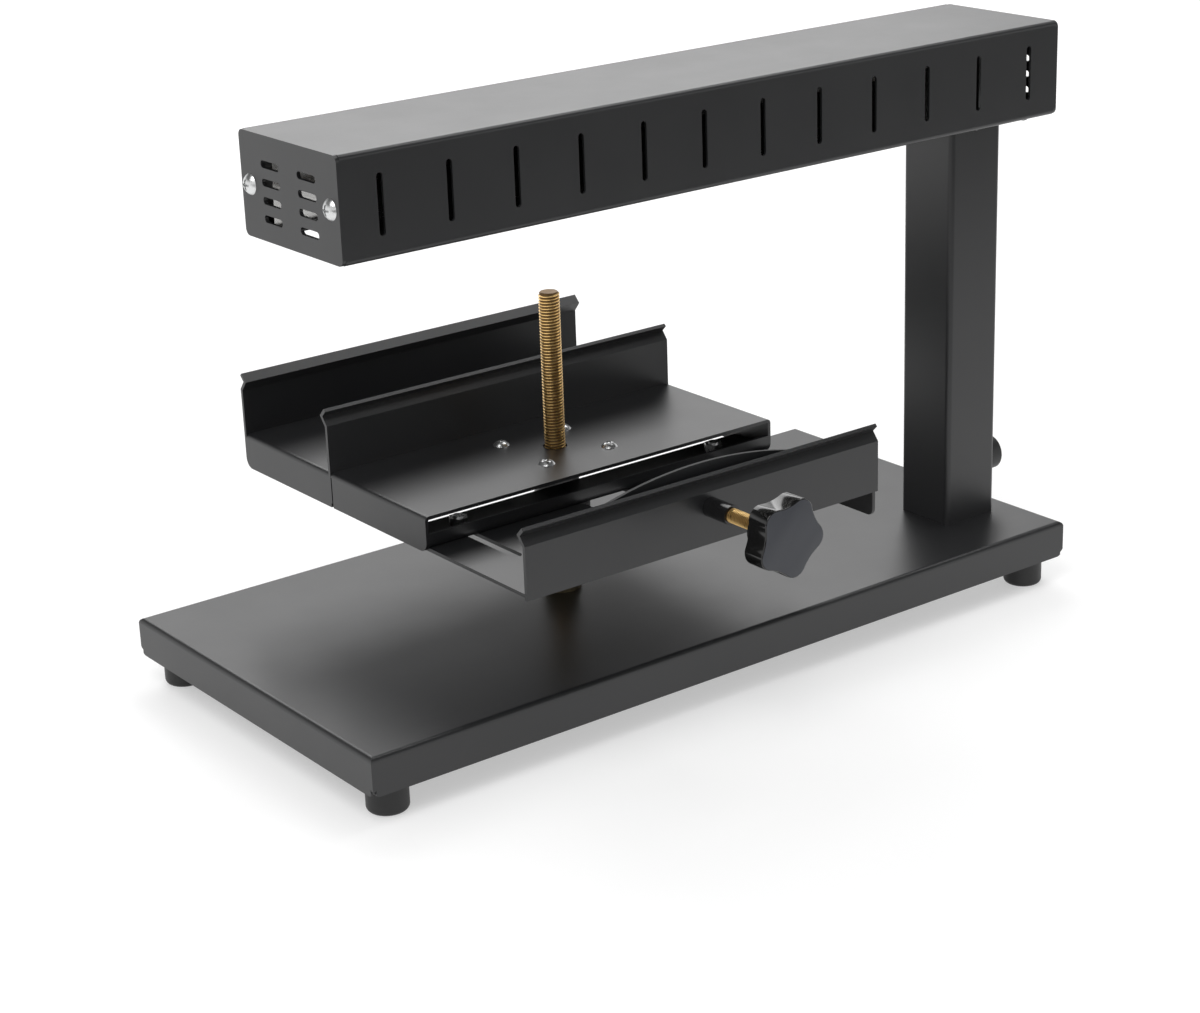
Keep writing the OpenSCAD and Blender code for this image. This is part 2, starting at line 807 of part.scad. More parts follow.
module cap_screws() {
    color([0.80, 0.80, 0.82]) at_heater() for (x = [-1, 1], y = [-1, 1])
        translate([x * heater_l / 2, y * cap_screw_gap / 2, heater_h / 2])
            rotate([0, x * 90, 0])
                domed_screw(m5, cap_t + heater_t + 2 * thread_end,
                    cap_screw_head_d, cap_screw_head_h);
}

// Folds of the reflector's upper side, which rests on the heater's lower flanges
reflector_z = heater_t + reflector_t;
half_mouth = heater_w / 2 - heater_t - reflector_gap - reflector_lip;
half_roof = half_mouth - reflector_lean;
reflector_fold = [[-half_mouth - reflector_lip, reflector_z], [-half_mouth, reflector_z],
    [-half_roof, reflector_z + reflector_h], [half_roof, reflector_z + reflector_h],
    [half_mouth, reflector_z], [half_mouth + reflector_lip, reflector_z]];

module reflector() {
    middle = element_x - element_d / 2 - reflector_over + reflector_l / 2;
    color([0.86, 0.86, 0.87]) in_frame() translate([middle, column_y, heater_z])
        along_x(reflector_l) folded_sheet(reflector_fold, reflector_t);
}

module element_brackets() {
    low = element_lift - bracket_h / 2;
    color([0.72, 0.73, 0.74]) in_frame() for (i = [0 : 2])
        translate([bracket_x + i * bracket_step, column_y, heater_z]) along_x(bracket_t)
            difference() {
                intersection() {
                    polygon(shifted(reflector_fold, reflector_t));
                    translate([-half_mouth, low]) square([2 * half_mouth, bracket_h]);
                }
                for (y = [-1, 1]) translate([y * element_gap / 2, element_lift])
                    circle(element_d / 2 + element_gap_r);
            }
}

module heating_element() {
    leg_l = element_l - element_gap / 2;
    color([0.45, 0.40, 0.36]) in_frame()
        translate([element_x + element_gap / 2, column_y, heater_z + element_lift]) {
            rotate(90) rotate_extrude(angle = 180)
                translate([element_gap / 2, 0]) circle(d = element_d);
            for (y = [-1, 1]) translate([0, y * element_gap / 2, 0]) rotate([0, 90, 0]) {
                cylinder(d = element_d, h = leg_l);
                cylinder(d = terminal_d, h = leg_l + terminal_l);
            }
        }
}

module terminal_block() {
    block_x = column_x - column_w / 2 - block_gap - block_l / 2;
    color([0.88, 0.86, 0.80]) in_frame() translate([block_x, column_y, block_z])
        difference() {
            translate([-block_l / 2, -block_w / 2, 0]) cube([block_l, block_w, block_h]);
            for (i = [0 : block_bores - 1])
                translate([0, (i - (block_bores - 1) / 2) * block_w / block_bores, block_h / 3])
                    rotate([0, 90, 0]) cylinder(d = m4, h = block_l + through, center = true);
        }
}

// ---- Switch and gland ------------------------------------------------------

// The rocker turns on two short pins, behind the outer face of the heater's side
pivot_in = 2.3;
pin_d = 2;
pin_l = 1;
rocker_cavity = 8;
rocker_side_gap = 0.3;
bezel_corner_r = 1;

module switch_body() {
    cavity_w = rocker_w + 2 * rocker_side_gap;
    color([0.06, 0.06, 0.06]) in_frame() translate([switch_x, far_wall_y, heater_mid])
        difference() {
            union() {
                translate([0, bezel_t / 2, 0])
                    along_y(bezel_t) rounded_rect(bezel_w, bezel_h, bezel_corner_r);
                translate([0, -switch_depth / 2, 0])
                    cube([switch_cut_w, switch_depth, switch_cut_h], center = true);
            }
            translate([0, bezel_t + cut, 0])
                cube([cavity_w, 2 * (rocker_cavity + bezel_t + cut),
                    rocker_h + 2 * rocker_gap], center = true);
            translate([0, -pivot_in, 0]) rotate([0, 90, 0])
                cylinder(r = pin_d / 2 + thread_gap, h = cavity_w + 2 * (pin_l + slide_gap),
                    center = true);
        }
}

module switch_rocker() {
    half = rocker_h / 2;
    front = 4.9;
    waist = 3.9;
    back = 3.7;
    color([0.55, 0.05, 0.04]) in_frame()
        translate([switch_x, far_wall_y - pivot_in, heater_mid])
            rotate([rocker_tilt, 0, 0]) {
                along_x(rocker_w) polygon([[-back, -half / 2],
                    [-back, half / 2], [front / 2, half], [front, half], [waist, 0],
                    [front, -half], [front / 2, -half]]);
                rotate([0, 90, 0]) cylinder(d = pin_d,
                    h = rocker_w + 2 * (rocker_side_gap + pin_l), center = true);
            }
}

gland_x = column_x + column_w / 2;
gland_inside = column_wall + gland_lock_t;
gland_nose = 3;
gland_lock_hex = 0.9 * gland_hex;
gland_cap_d = 0.96 * gland_hex;

module at_gland() {
    in_frame() translate([gland_x, column_y, base_top + gland_lift])
        rotate([0, 90, 0]) children();
}

module gland_bore(l) {
    translate([0, 0, -gland_inside - cut]) cylinder(d = gland_bore_d, h = l + through);
}

module gland_body() {
    l = gland_inside + gland_hex_t + gland_thread_l;
    color([0.08, 0.08, 0.08]) at_gland() difference() {
        union() {
            hex_block(gland_hex, gland_hex_t);
            translate([0, 0, -gland_inside]) cylinder(d = gland_thread_d, h = l);
        }
        gland_bore(l);
    }
}

module gland_lock_nut() {
    color([0.08, 0.08, 0.08]) at_gland() translate([0, 0, -gland_inside]) difference() {
        hex_block(gland_lock_hex, gland_lock_t);
        translate([0, 0, -cut])
            cylinder(r = gland_thread_d / 2 + thread_gap, h = gland_lock_t + through);
    }
}

module gland_cap() {
    l = gland_thread_l + slide_gap;
    color([0.08, 0.08, 0.08]) at_gland() translate([0, 0, gland_hex_t]) difference() {
        union() {
            cylinder(d = gland_cap_d, h = l);
            translate([0, 0, l]) cylinder(d1 = gland_cap_d, d2 = gland_thread_d, h = gland_nose);
        }
        translate([0, 0, -cut]) cylinder(r = gland_thread_d / 2 + thread_gap, h = l + cut);
        cylinder(d = gland_bore_d, h = l + gland_nose + cut);
    }
}

// ---- Height adjustment -----------------------------------------------------

module height_ring() {
    color([0.75, 0.75, 0.77]) at_rod() translate([0, 0, ring_under])
        plain_washer(ring_d, rod_d / 2 + run_gap, ring_t);
}

module hand_nut() {
    groove_r = 2.5;
    groove_out = 0.6;
    color([0.10, 0.10, 0.11]) at_rod() translate([0, 0, hand_nut_under]) difference() {
        cylinder(d = hand_nut_d, h = hand_nut_h);
        translate([0, 0, -cut]) cylinder(r = rod_d / 2 + run_gap, h = hand_nut_h + through);
        for (i = [0 : hand_nut_grooves - 1]) rotate(i * 360 / hand_nut_grooves)
            translate([hand_nut_d / 2 + groove_out, 0, -cut])
                cylinder(r = groove_r, h = hand_nut_h + through);
    }
}

module hub() {
    color([0.12, 0.12, 0.13]) at_rod() difference() {
        union() {
            translate([0, 0, hub_under]) cylinder(d = hub_d, h = hub_l);
            translate([0, 0, floor_under - hub_flange_t]) linear_extrude(hub_flange_t)
                rounded_rect(hub_flange_w, hub_flange_w, apron_corner_r);
        }
        translate([0, 0, hub_under - cut]) cylinder(r = rod_d / 2 + run_gap, h = hub_l + through);
        at_hub_screws() translate([0, 0, floor_under - hub_flange_t - cut])
            cylinder(r = m5 / 2 + thread_gap, h = hub_flange_t + through);
    }
}

module hub_screws() {
    color([0.75, 0.75, 0.77]) at_rod() at_hub_screws() translate([0, 0, floor_z])
        pan_screw(m5, tray_t + hub_flange_t + thread_end);
}

// ---- Trays -----------------------------------------------------------------

// Length of a bore cutter that passes through a wall and its seam
tray_bore_l = 4 * tray_t;

// Floor with an apron at each end, drawn between two distances from the rod
module floor_and_aprons(y0, y1, apron_y0, apron_y1) {
    difference() {
        translate([0, (y0 + y1) / 2, floor_z - apron_h])
            along_y(y1 - y0) arch_bar(tray_l, apron_h, tray_bend_r);
        translate([0, (y0 + y1) / 2, floor_z - apron_h - cut])
            along_y(y1 - y0 + through)
                arch_bar(tray_l - 2 * tray_t, apron_h - tray_t + cut, tray_bend_r - tray_t);
        for (y = [y0 - cut, apron_y1])
            translate([-tray_l, y, floor_z - apron_h - cut])
                cube([2 * tray_l, (y < apron_y0 ? apron_y0 : y1 + cut) - y,
                    apron_h - tray_bend_r + cut]);
    }
}

// Cutter that rounds an apron's lower corner; side is -1 for the near tray
module apron_corner(y, side) {
    translate([0, y, floor_z - apron_h]) along_x(tray_l + through)
        mirror([side > 0 ? 1 : 0, 0]) corner_waste(apron_corner_r);
}

module near_tray() {
    out_y = -section_w / 2;
    side_l = tray_l - 2 * tray_t + sheet_lap;
    color([0.08, 0.08, 0.09]) at_rod() difference() {
        union() {
            floor_and_aprons(out_y, seam_y, out_y, seam_y - apron_seam / 2);
            translate([-side_l / 2, seam_y - tray_t, ledge_under])
                cube([side_l, tray_t, floor_z - tray_t / 2 - ledge_under]);
            translate([-side_l / 2, out_y, ledge_under])
                cube([side_l, tray_t, guide_lip_h]);
            translate([-side_l / 2, out_y, ledge_under])
                cube([side_l, guide_ledge_w, tray_t]);
        }
        apron_corner(out_y, -1);
        translate([0, 0, floor_under - cut])
            cylinder(r = rod_d / 2 + floor_play, h = tray_t + through);
        at_hub_screws() translate([0, 0, floor_under - cut])
            cylinder(r = m5 / 2 + hole_play, h = tray_t + through);
        at_guides() translate([0, 0, ledge_under - cut])
            cylinder(r = guide_d / 2 + hole_play, h = tray_t + through);
        at_tray_bolts() rotate([90, 0, 0])
            cylinder(r = m5 / 2 + hole_play, h = tray_bore_l, center = true);
    }
}

module far_tray() {
    color([0.08, 0.08, 0.09]) at_rod() difference() {
        union() {
            floor_and_aprons(seam_y + tray_t / 2, far_out, seam_y + apron_seam / 2, far_out);
            translate([0, seam_y, floor_z]) along_x(tray_l)
                rimmed_wall(ledge_under - floor_z);
            translate([0, far_out, floor_z]) along_x(tray_l)
                mirror([1, 0]) rimmed_wall(-tray_bend_r);
        }
        apron_corner(far_out, 1);
        at_tray_bolts() rotate([90, 0, 0])
            cylinder(r = m5 / 2 + hole_play, h = tray_bore_l, center = true);
    }
}

module tray_bolts() {
    color([0.75, 0.75, 0.77]) at_rod() at_tray_bolts() translate([0, -tray_t, 0])
        towards_near() hex_screw(m5, 2 * tray_t + m5 * nut_height + thread_end);
}

module tray_nuts() {
    color([0.75, 0.75, 0.77]) at_rod() at_tray_bolts()
        translate([0, tray_t + m5 * nut_height, 0])
            towards_near() hex_nut(m5, m5 * nut_height);
}

module guide_screws() {
    grip = slide_gap + tray_t + slide_gap + tray_t + guide_d * nut_height + thread_end;
    color([0.75, 0.75, 0.77]) at_rod() at_guides()
        translate([0, 0, plate_under - slide_gap])
            rotate([180, 0, 0]) domed_screw(guide_d, grip, 2 * guide_d, guide_d * pan_height);
}

module guide_nuts() {
    color([0.75, 0.75, 0.77]) at_rod() at_guides()
        translate([0, 0, ledge_under + tray_t]) hex_nut(guide_d, guide_d * nut_height);
}

// ---- Sliding wall and clamp ------------------------------------------------

module sliding_wall() {
    plate_l = tray_l - 2 * (tray_t + slide_gap);
    slot_w = guide_d + 2 * guide_play;
    hub_slot_w = hub_d + 2 * hub_slot_gap;
    inner_y = -jaw_inner;
    color([0.08, 0.08, 0.09]) at_rod() difference() {
        union() {
            translate([0, -jaw_out, plate_top]) along_x(tray_l) rimmed_wall(-tray_t);
            translate([-plate_l / 2, -jaw_out, plate_under])
                cube([plate_l, jaw_out - jaw_inner, tray_t]);
            translate([plate_l / 2 - tray_t / 2, -jaw_out + rear_lip_l / 2, plate_under])
                along_x(tray_t) mirror([0, 1])
                    translate([-rear_lip_l / 2, 0]) difference() {
                        square([rear_lip_l, rear_lip_h]);
                        translate([0, rear_lip_h]) mirror([0, 1]) corner_waste(rear_lip_r);
                    }
        }
        for (x = [-1, 1])
            translate([x * guide_gap / 2, ledge_mid - jaw_travel / 2, plate_under - cut])
                linear_extrude(tray_t + through) rotate(90) slot(jaw_travel + slot_w, slot_w);
        translate([0, -jaw_travel, plate_under - cut])
            cylinder(d = hub_slot_w, h = tray_t + through);
        translate([-hub_slot_w / 2, -jaw_travel, plate_under - cut])
            cube([hub_slot_w, jaw_travel + inner_y + cut, tray_t + through]);
        translate([0, -jaw_out, clamp_z]) rotate([90, 0, 0])
            cylinder(r = clamp_d / 2 + hole_play, h = tray_bore_l, center = true);
    }
}

module at_clamp(y) {
    at_rod() translate([0, y, clamp_z]) towards_near() children();
}

module clamp_sleeve() {
    color([0.07, 0.07, 0.07]) at_clamp(-jaw_out) difference() {
        cylinder(d = sleeve_d, h = sleeve_l);
        translate([0, 0, -cut]) cylinder(r = clamp_d / 2 + run_gap, h = sleeve_l + through);
    }
}

module pressure_plate() {
    arch_r = (press_w * press_w / 4 + press_arch * press_arch) / (2 * press_arch);
    arch_sides = 96;
    top = wall_h - press_gap + press_over;
    color([0.10, 0.10, 0.11]) at_rod() difference() {
        translate([0, (press_back + press_front) / 2, plate_top + press_gap]) along_y(press_t)
            intersection() {
                translate([-press_w / 2, 0]) square([press_w, top]);
                translate([0, top - arch_r]) circle(arch_r, $fn = arch_sides);
            }
        translate([0, press_front + cut, clamp_z]) rotate([90, 0, 0])
            cylinder(r = clamp_d / 2 + run_gap, h = press_t + through);
    }
}

// The spindle is drawn from its riveted front end towards the knob
module clamp_spindle() {
    tip_y = press_front + slide_gap + collar_t;
    l = tip_y - knob_back + knob_hold;
    color([0.78, 0.70, 0.48]) at_clamp(tip_y) {
        cylinder(d = clamp_d, h = l);
        cylinder(d = collar_d, h = collar_t);
        translate([0, 0, collar_t + press_t + 2 * slide_gap])
            cylinder(d = collar_d, h = collar_t);
    }
}

// The valleys reach that far into the lobes, so that the two outlines cross
valley_bite = 0.05;

// Star outline: round lobes joined by round valleys that meet them smoothly
module star(lobe, valley) {
    half = 180 / knob_lobes;
    valley_at = lobe_at * cos(half)
        + sqrt(pow(lobe + valley, 2) - pow(lobe_at * sin(half), 2));
    difference() {
        polygon([for (i = [0 : 2 * knob_lobes - 1])
            let (r = i % 2 == 0 ? lobe_at : valley_at)
            [r * cos(i * half), r * sin(i * half)]]);
        for (i = [0 : knob_lobes - 1]) rotate((2 * i + 1) * half)
            translate([valley_at, 0]) circle(valley + valley_bite);
    }
    for (i = [0 : knob_lobes - 1]) rotate(2 * i * half)
        translate([lobe_at, 0]) circle(lobe);
}

module star_knob() {
    color([0.04, 0.04, 0.04]) at_clamp(knob_back) difference() {
        union() {
            cylinder(d = neck_d, h = neck_l + lap);
            translate([0, 0, neck_l]) rotate(knob_turn) {
                linear_extrude(knob_t - knob_step) star(lobe_r, valley_r);
                linear_extrude(knob_t) star(lobe_r - knob_step, valley_r + knob_step);
            }
        }
        translate([0, 0, -cut]) cylinder(r = clamp_d / 2 + thread_gap, h = knob_hold + cut + slide_gap);
    }
}

base_pan();
rubber_feet();
foot_screws();
foot_nuts();
column();
head_plate();
backing_plate();
column_bolts();
threaded_rod();
rod_washers();
rod_nuts();
heater_housing();
heater_mount_screws();
heater_cap_front();
heater_cap_rear();
cap_screws();
reflector();
element_brackets();
heating_element();
terminal_block();
switch_body();
switch_rocker();
gland_body();
gland_lock_nut();
gland_cap();
height_ring();
hand_nut();
hub();
hub_screws();
near_tray();
far_tray();
tray_bolts();
tray_nuts();
guide_screws();
guide_nuts();
sliding_wall();
clamp_sleeve();
pressure_plate();
clamp_spindle();
star_knob();
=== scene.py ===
# Finishes, threads and small details of a two-tray cheese melter.
import bpy
import math
from mathutils import Matrix, Vector


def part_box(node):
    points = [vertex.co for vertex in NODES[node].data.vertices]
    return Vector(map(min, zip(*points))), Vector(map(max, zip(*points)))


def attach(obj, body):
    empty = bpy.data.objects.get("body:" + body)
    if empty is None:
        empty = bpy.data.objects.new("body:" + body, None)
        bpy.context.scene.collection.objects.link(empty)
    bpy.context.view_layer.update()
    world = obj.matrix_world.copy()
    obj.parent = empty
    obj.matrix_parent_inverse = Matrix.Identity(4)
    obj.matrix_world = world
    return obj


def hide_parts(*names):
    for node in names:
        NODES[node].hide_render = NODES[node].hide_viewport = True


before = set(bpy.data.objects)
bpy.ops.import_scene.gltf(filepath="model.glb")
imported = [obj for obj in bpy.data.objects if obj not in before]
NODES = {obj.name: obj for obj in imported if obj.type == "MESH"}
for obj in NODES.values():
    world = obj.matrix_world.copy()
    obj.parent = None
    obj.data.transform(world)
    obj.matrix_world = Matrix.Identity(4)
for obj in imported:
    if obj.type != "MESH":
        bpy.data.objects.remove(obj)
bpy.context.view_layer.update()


# ---- Shader maths ----------------------------------------------------------

class Wire:
    """An output socket in a node tree. Arithmetic on it adds Math nodes."""

    def __init__(self, nodes, socket):
        self.nodes = nodes
        self.socket = socket

    def _math(self, operation, *values):
        node = self.nodes.add("ShaderNodeMath", {"operation": operation},
                              dict(enumerate(values)))
        return node["Value"]

    def __add__(self, other):
        return self._math("ADD", self, other)

    def __radd__(self, other):
        return self._math("ADD", other, self)

    def __sub__(self, other):
        return self._math("SUBTRACT", self, other)

    def __rsub__(self, other):
        return self._math("SUBTRACT", other, self)

    def __mul__(self, other):
        return self._math("MULTIPLY", self, other)

    def __rmul__(self, other):
        return self._math("MULTIPLY", other, self)


class Nodes:
    """A node tree of a material or of the world."""

    def __init__(self, tree):
        self.tree = tree

    @staticmethod
    def find(sockets, key):
        """A socket by its number, or the enabled one of that name."""
        if isinstance(key, int):
            return sockets[key]
        return next(s for s in sockets if s.name == key and s.enabled)

    def plug(self, socket, value):
        """Links a wire to the socket, or sets its value."""
        if isinstance(value, Wire):
            self.tree.links.new(value.socket, socket)
        else:
            socket.default_value = value

    def add(self, kind, settings=None, values=None):
        """Adds a node: its settings first, then the values or wires of its inputs."""
        node = self.tree.nodes.new(kind)
        for name, setting in (settings or {}).items():
            setattr(node, name, setting)
        for key, value in (values or {}).items():
            self.plug(self.find(node.inputs, key), value)
        return {socket.name: Wire(self, socket) for socket in node.outputs if socket.enabled}

    def span(self, value, low, high, start=0.0, end=1.0):
        """Maps value from low..high to start..end, and holds it there."""
        return self.add("ShaderNodeMapRange", {"clamp": True},
                        {"Value": value, "From Min": low, "From Max": high,
                         "To Min": start, "To Max": end})["Result"]

    def larger(self, first, second):
        return self.add("ShaderNodeMath", {"operation": "MAXIMUM"},
                        {0: first, 1: second})["Value"]

    def part(self, vector, axis):
        """One axis of a vector."""
        return self.add("ShaderNodeSeparateXYZ", {}, {0: vector})[axis]

    def length(self, vector):
        return self.add("ShaderNodeVectorMath", {"operation": "LENGTH"}, {0: vector})["Value"]


class Finish(Nodes):
    """A procedural material, read in the object's own coordinates."""

    def __init__(self, name):
        self.material = bpy.data.materials.new(name)
        self.material.use_nodes = True
        super().__init__(self.material.node_tree)
        self.shader = self.tree.nodes["Principled BSDF"]
        self.place = self.add("ShaderNodeTexCoord")["Object"]

    def stretched(self, scale, centre=(0, 0, 0)):
        """The object's coordinates from a centre, stretched along each axis."""
        moved = self.add("ShaderNodeVectorMath", {"operation": "SUBTRACT"},
                         {0: self.place, 1: centre})["Vector"]
        return self.add("ShaderNodeVectorMath", {"operation": "MULTIPLY"},
                        {0: moved, 1: scale})["Vector"]

    def noise(self, scale, detail=2.0, rough=0.5, along=None):
        """Noise from 0 to 1; scale is in cells per metre, along stretches it."""
        where = self.stretched(along) if along else self.place
        return self.add("ShaderNodeTexNoise", {},
                        {"Vector": where, "Scale": scale, "Detail": detail,
                         "Roughness": rough})["Fac"]

    def blend(self, share, first, second):
        """A colour between first, at a share of 0, and second, at 1."""
        return self.add("ShaderNodeMix", {"data_type": "RGBA"},
                        {"Factor": share, "A": first, "B": second})["Result"]

    def upward(self):
        """1 on faces that look up, 0 on upright and lower faces."""
        normal = self.add("ShaderNodeNewGeometry")["Normal"]
        return self.span(self.part(normal, "Z"), 0.6, 0.98)

    def relief(self, *layers):
        """Bump from (height wire, depth in metres) pairs."""
        total = None
        for height, depth in layers:
            total = height * depth if total is None else total + height * depth
        bump = self.add("ShaderNodeBump", {},
                        {"Height": total, "Strength": 1.0, "Distance": 1.0})
        self.plug(self.shader.inputs["Normal"], bump["Normal"])

    def set(self, **values):
        """Sets or links inputs of the surface shader, named with _ for a space."""
        for name, value in values.items():
            self.plug(self.shader.inputs[name.replace("_", " ")], value)


def rgb(red, green, blue):
    return (red, green, blue, 1)


def grey(level, tint=(1, 1, 1)):
    return rgb(level * tint[0], level * tint[1], level * tint[2])


# ---- Finishes --------------------------------------------------------------

def powder_coat(name, rough, ior):
    """Black powder coat: a fine pebbled skin with faint dust on top."""
    f = Finish(name)
    broad = f.noise(9, 3)
    skin = f.noise(1500, 2)
    pebble = f.noise(420, 2, 0.6)
    dust = f.span(f.noise(60, 4, 0.7), 0.45, 0.8) * f.upward() * 0.25
    deep, pale = grey(0.0090, (0.95, 0.99, 1.10)), grey(0.0110, (0.96, 0.99, 1.09))
    dusty = grey(0.020)
    coated = f.blend(f.span(broad, 0.3, 0.7), deep, pale)
    uneven = f.span(f.noise(25, 4), 0.3, 0.7, rough, rough + 0.03)
    f.set(Base_Color=f.blend(dust, coated, dusty), Roughness=uneven + skin * 0.02, IOR=ior)
    f.relief((skin, 6e-6), (pebble, 8e-6))
    return f.material


def zinc(name, tint):
    """Zinc plate: slightly cloudy, with fine marks."""
    f = Finish(name)
    cloud = f.noise(160, 4, 0.6)
    marks = f.noise(900, 3, 0.7, (1, 1, 6))
    f.set(Base_Color=f.blend(f.span(cloud, 0.3, 0.75), grey(0.62, tint), grey(0.80, tint)),
          Metallic=1.0,
          Roughness=f.span(cloud, 0.3, 0.7, 0.20, 0.34) + marks * 0.06)
    f.relief((marks, 12e-6))
    return f.material


def yellow_plate(name, centre, radius, root, along):
    """Yellow plated thread: bright crests, darker towards the roots, measured from the screw's
    axis.
    """
    f = Finish(name)
    across = [0 if axis == along else 1 for axis in range(3)]
    away = f.length(f.stretched(tuple(across), centre))
    crest = f.span(away, root, radius)
    cloud = f.noise(220, 4, 0.6)
    # the thread is coloured darker towards its roots and lighter at its crests
    root_colour, plated, worn = rgb(0.17, 0.10, 0.038), rgb(0.92, 0.62, 0.25), rgb(0.64, 0.47, 0.25)
    thread = f.blend(crest, root_colour, plated)
    f.set(Base_Color=f.blend(f.span(cloud, 0.55, 0.85) * 0.5, thread, worn),
          Metallic=f.span(crest, 0, 0.5, 0.75, 1.0),
          Roughness=f.span(cloud, 0.3, 0.75, 0.24, 0.40) + (1 - crest) * 0.2)
    f.relief((f.noise(1400, 3), 10e-6))
    return f.material


def shade_darkened_yellow_hardware():
    """Washers and nuts of dull yellow plate, coloured dark as painted shade."""
    f = Finish("shade_darkened_yellow_hardware")
    cloud = f.noise(180, 4, 0.6)
    # painted shade: the yellow plate is coloured dark brown to stand for the shade round the rod's
    # foot
    darkest, lightest = rgb(0.085, 0.070, 0.042), rgb(0.15, 0.125, 0.075)
    f.set(Base_Color=f.blend(f.span(cloud, 0.3, 0.75), darkest, lightest),
          Metallic=0.9,
          Roughness=f.span(cloud, 0.3, 0.7, 0.34, 0.46))
    f.relief((f.noise(1100, 3, 0.7), 10e-6))
    return f.material


def rolled_aluminium():
    """Bright rolled aluminium with streaks along its length."""
    f = Finish("rolled_aluminium")
    streak = f.noise(700, 3, 0.6, (0.02, 1, 1))
    smudge = f.noise(14, 4)
    bare, smudged = grey(0.86, (1, 1, 0.99)), grey(0.74, (1, 0.98, 0.94))
    f.set(Base_Color=f.blend(f.span(smudge, 0.4, 0.8), bare, smudged),
          Metallic=1.0,
          Roughness=f.span(smudge, 0.3, 0.8, 0.16, 0.30) + streak * 0.08)
    f.relief((streak, 15e-6))
    return f.material


def heated_sheath():
    """Oxidised sheath of the heating element, browned but for its cold end at the column."""
    f = Finish("oxidised_sheath")
    cloud = f.noise(45, 4, 0.6)
    cold_starts, cold_full = 0.06, 0.14
    hot = f.span(f.part(f.place, "X"), cold_starts, cold_full, 1, 0)
    brown, pale_brown, bare = (rgb(0.095, 0.082, 0.075), rgb(0.16, 0.125, 0.10),
                               rgb(0.42, 0.40, 0.38))
    f.set(Base_Color=f.blend(hot, bare, f.blend(f.span(cloud, 0.3, 0.7), brown, pale_brown)),
          Metallic=0.8,
          Roughness=f.span(cloud, 0.3, 0.7, 0.42, 0.60))
    f.relief((f.noise(1500, 3), 20e-6))
    return f.material


def ceramic():
    """Unglazed ceramic of the terminal block, with small dark specks."""
    f = Finish("unglazed_ceramic")
    speck = f.span(f.noise(1500, 2), 0.62, 0.75)
    cloud = f.noise(90, 3)
    body = f.blend(cloud, rgb(0.78, 0.75, 0.67), rgb(0.86, 0.84, 0.78))
    f.set(Base_Color=f.blend(speck * 0.4, body, rgb(0.45, 0.41, 0.35)),
          Roughness=0.65 + cloud * 0.15)
    f.relief((f.noise(700, 3), 40e-6))
    return f.material


def moulded_black(name, level, rough, grain):
    """Moulded black plastic with a fine mould texture."""
    f = Finish(name)
    cloud = f.noise(40, 3)
    skin = f.noise(1300, 2, 0.6)
    cool = (1, 1, 1.05)
    f.set(Base_Color=f.blend(cloud, grey(level * 0.8, cool), grey(level * 1.25, cool)),
          Roughness=f.span(cloud, 0.3, 0.7, rough - 0.03, rough + 0.05) + skin * 0.03,
          IOR=1.5)
    f.relief((skin, grain), (cloud, grain))
    return f.material


def knob_black():
    """Moulded knob: a satin front face, glossy round its sides; the front face is coloured a
    lighter bluish grey as a painted sheen.
    """
    f = Finish("glossy_knob_black")
    skin = f.noise(1300, 2, 0.6)
    outward = f.add("ShaderNodeTexCoord")["Normal"]
    front = f.span(f.part(outward, "Y"), -0.90, -0.99)
    # painted sheen: the front face gets a lighter bluish grey than the glossy sides
    glossy, painted_face_sheen = grey(0.006), grey(0.042, (0.90, 0.98, 1.22))
    f.set(Base_Color=f.blend(front, glossy, painted_face_sheen),
          Roughness=0.10 + front * 0.22 + skin * 0.03,
          IOR=1.5)
    f.relief((skin, 4e-6))
    return f.material


def rubber():
    """Black rubber of the feet, with a fine grit."""
    f = Finish("black_rubber")
    cloud = f.noise(70, 4, 0.6)
    grit = f.noise(1800, 3, 0.7)
    f.set(Base_Color=f.blend(cloud, grey(0.010), grey(0.020)),
          Roughness=0.42 + cloud * 0.15 + grit * 0.06)
    f.relief((grit, 30e-6))
    return f.material


def rocker_red():
    """Glossy red plastic of the switch's rocker."""
    f = Finish("moulded_red")
    cloud = f.noise(90, 3)
    f.set(Base_Color=f.blend(cloud, rgb(0.40, 0.018, 0.012), rgb(0.50, 0.030, 0.020)),
          Roughness=0.22 + cloud * 0.08,
          Coat_Weight=0.3)
    f.relief((f.noise(900, 2), 10e-6))
    return f.material


# ---- Modelling helpers -----------------------------------------------------

def deselect():
    """Leaves edit mode and deselects everything."""
    if bpy.context.object and bpy.context.object.mode != "OBJECT":
        bpy.ops.object.mode_set(mode="OBJECT")
    bpy.ops.object.select_all(action="DESELECT")


def select_only(piece):
    deselect()
    bpy.context.view_layer.objects.active = piece
    piece.select_set(True)


def started(name):
    """Names the primitive that was just added and returns it."""
    piece = bpy.context.object
    piece.name = piece.data.name = name
    return piece


def apply_all(piece):
    """Applies the modifiers, then the place and turn, so the object ends at the origin."""
    select_only(piece)
    for modifier in list(piece.modifiers):
        bpy.ops.object.modifier_apply(modifier=modifier.name)
    bpy.ops.object.transform_apply(location=True, rotation=True, scale=True)


def smooth(piece, degrees):
    """Shades smooth where faces meet at less than this angle."""
    select_only(piece)
    bpy.ops.object.shade_smooth_by_angle(angle=math.radians(degrees))


def clean(piece, reach):
    """Merges doubles within reach and points the faces outwards."""
    select_only(piece)
    bpy.ops.object.mode_set(mode="EDIT")
    bpy.ops.mesh.select_all(action="SELECT")
    bpy.ops.mesh.remove_doubles(threshold=reach)
    bpy.ops.mesh.normals_make_consistent(inside=False)
    bpy.ops.object.mode_set(mode="OBJECT")


